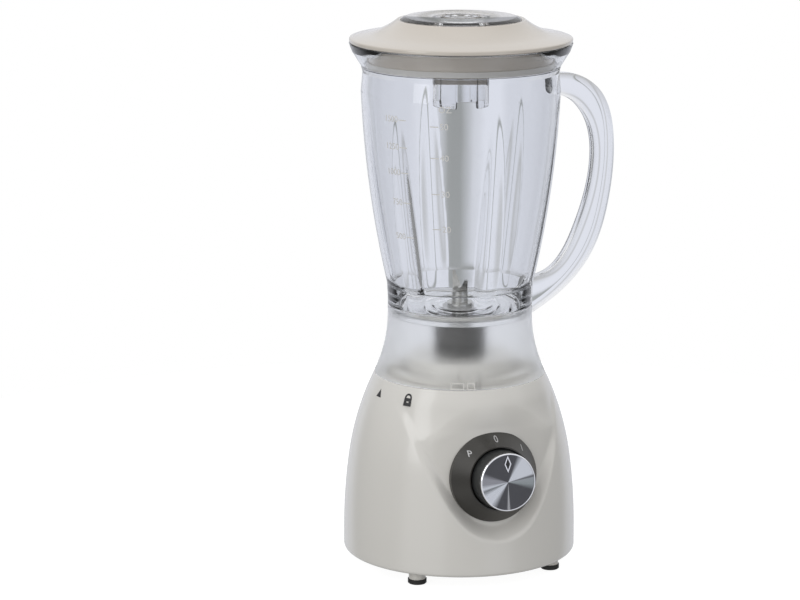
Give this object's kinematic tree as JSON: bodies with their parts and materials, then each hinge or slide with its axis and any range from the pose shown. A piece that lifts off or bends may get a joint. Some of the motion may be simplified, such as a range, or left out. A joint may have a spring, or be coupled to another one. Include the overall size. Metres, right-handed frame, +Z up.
{
  "type": "countertop blender",
  "caption": "Countertop blender: motor base with a front dial, twist-locked frosted skirt, clear ribbed jar with a loop handle, bladed hub, lid and clear filler cap.",
  "frame": {"origin": "on the drive axis, at the level of the feet's undersides", "axes": "+Z up along the drive axis, dial towards -Y, jug handle towards +X, cord inlet towards +Y"},
  "size_m": [0.2056, 0.1894, 0.4045],
  "materials": {
    "cream_plastic": "glossy, faint orange peel",
    "plate_plastic": "fine matt",
    "lid_plastic": "glossy",
    "clear_plastic": "clear, polished",
    "frosted_plastic": "frosted, translucent",
    "bezel_plastic": "satin",
    "knob_plastic": "satin",
    "spun_metal": "radially spun",
    "bright_trim": "polished",
    "pointer_dark": "gloss, light edge",
    "black_rubber": "matt",
    "seal_rubber": "silicone, satin",
    "coupling_plastic": "moulded, satin",
    "blade_steel": "ground and polished",
    "plain_steel": "plain, zinc plated",
    "core_steel": "laminated, varnished",
    "copper": "enamelled wire and bare copper",
    "carbon": "pressed carbon",
    "bronze": "sintered",
    "switch_plastic": "moulded"
  },
  "bodies": {
    "base": {"base_housing": "cream_plastic", "bottom_plate": "plate_plastic", "foot_pads": "black_rubber", "plate_screws": "plain_steel", "cord_gland": "black_rubber", "lower_bearing": "plain_steel", "upper_bearing": "plain_steel", "lower_bracket": "plain_steel", "upper_bracket": "plain_steel", "motor_screws": "plain_steel", "motor_dampers": "black_rubber", "damper_screws": "plain_steel", "stator_core": "core_steel", "field_coils": "copper", "brush_holders": "switch_plastic", "carbon_brushes": "carbon", "shaft_seal": "black_rubber", "dial_bezel": "bezel_plastic", "rotary_switch": "switch_plastic", "switch_nut": "plain_steel", "interlock_switch": "switch_plastic"},
    "rotor": {"motor_shaft": "plain_steel", "rotor_core": "core_steel", "armature_winding": "copper", "commutator": "copper", "cooling_fan": "switch_plastic", "drive_coupling": "coupling_plastic"},
    "knob": {"knob_body": "knob_plastic", "knob_cap": "spun_metal", "knob_trim": "bright_trim", "knob_pointer": "pointer_dark", "switch_spindle": "plain_steel"},
    "lock_ring": {"lock_ring": "plate_plastic"},
    "jug": {"jar": "clear_plastic", "jar_skirt": "frosted_plastic", "blade_hub": "blade_steel", "upper_bush": "bronze", "lower_bush": "bronze", "blade_seal": "seal_rubber", "blade_lock_nut": "coupling_plastic"},
    "blades": {"driven_coupling": "coupling_plastic", "blade_shaft": "blade_steel", "lower_blade": "blade_steel", "upper_blade": "blade_steel", "blade_nut": "blade_steel"},
    "lid": {"lid": "lid_plastic", "lid_seal": "seal_rubber"},
    "cap": {"filler_cap": "clear_plastic"}
  },
  "joints": [
    {"name": "rotor_spin", "type": "hinge", "parent": "base", "child": "rotor", "pos_m": [0, 0, 0.09], "axis": [0, 0, 1], "continuous": true},
    {"name": "knob_turn", "type": "hinge", "parent": "base", "child": "knob", "pos_m": [0, -0.0697, 0.0799], "axis": [0, 0.9945, -0.1045], "range_deg": [-47, 90]},
    {"name": "jug_lock_turn", "type": "hinge", "parent": "base", "child": "lock_ring", "pos_m": [0, 0, 0.1444], "axis": [0, 0, 1], "range_deg": [-27, 0]},
    {"name": "jug_lift", "type": "slide", "parent": "lock_ring", "child": "jug", "axis": [0, 0, 1], "range_m": [0, 0.08]},
    {"name": "blade_spin", "type": "hinge", "parent": "jug", "child": "blades", "pos_m": [0, 0, 0.19], "axis": [0, 0, 1], "continuous": true},
    {"name": "lid_lift", "type": "slide", "parent": "jug", "child": "lid", "axis": [0, 0, 1], "range_m": [0, 0.06]},
    {"name": "cap_lift", "type": "slide", "parent": "lid", "child": "cap", "axis": [0, 0, 1], "range_m": [0, 0.065]}
  ],
  "couplings": [
    {"joint": "blade_spin", "follows": "rotor_spin", "ratio": 1}
  ]
}
